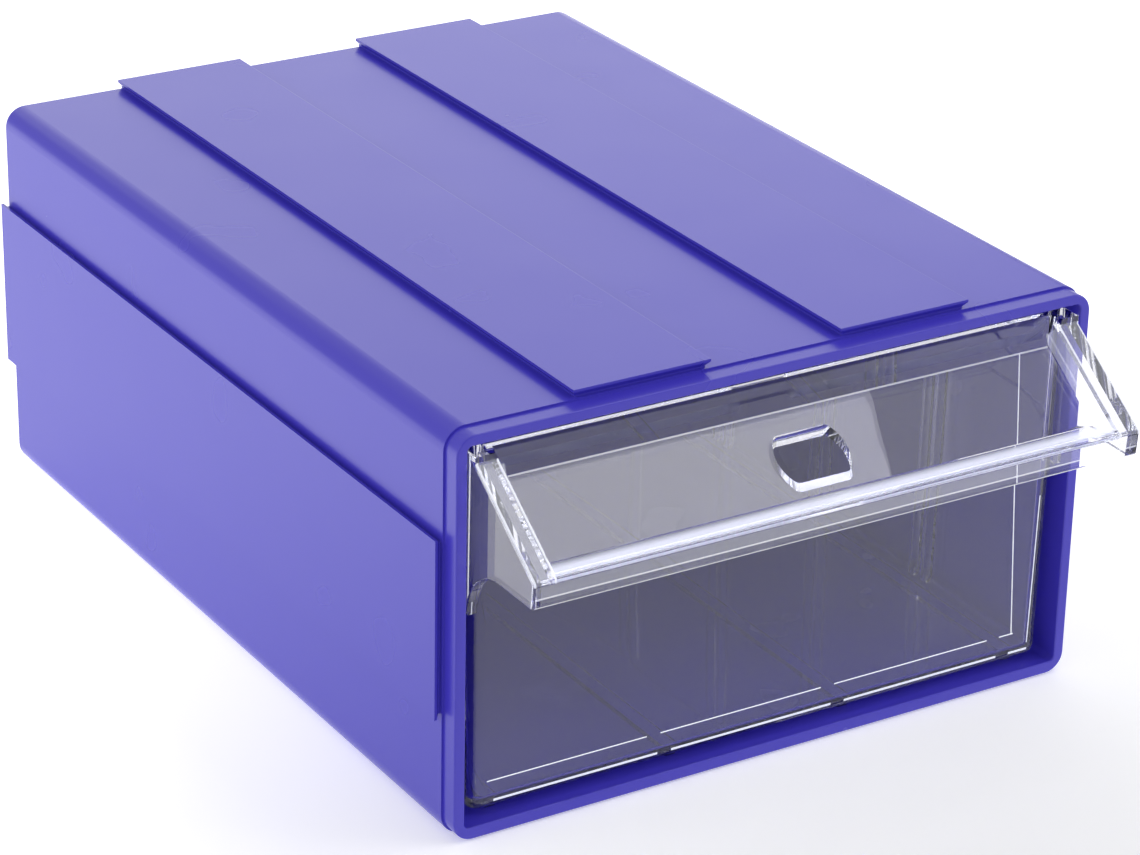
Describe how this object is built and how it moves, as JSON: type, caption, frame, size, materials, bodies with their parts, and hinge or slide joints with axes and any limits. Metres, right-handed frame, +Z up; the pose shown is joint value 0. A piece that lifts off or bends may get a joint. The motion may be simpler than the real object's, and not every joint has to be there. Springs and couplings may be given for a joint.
{
  "type": "stackable drawer box",
  "caption": "Stackable drawer box: rounded casing with dovetail rails and grooves, and a clear sliding drawer with a sloping label hood, finger hole and divider guides.",
  "frame": {"origin": "middle of the casing's underside, without the drawer's hood", "axes": "+Z up, -Y towards the open front, -X towards the side with the rail"},
  "size_m": [0.1617, 0.2426, 0.0955],
  "materials": {
    "casing_plastic": "gloss",
    "clear_plastic": "transparent"
  },
  "bodies": {
    "casing": {"casing": "casing_plastic"},
    "drawer": {"drawer": "clear_plastic"}
  },
  "joints": [
    {"name": "drawer_slide", "type": "slide", "parent": "casing", "child": "drawer", "axis": [0, -1, 0], "range_m": [0, 0.19]}
  ]
}
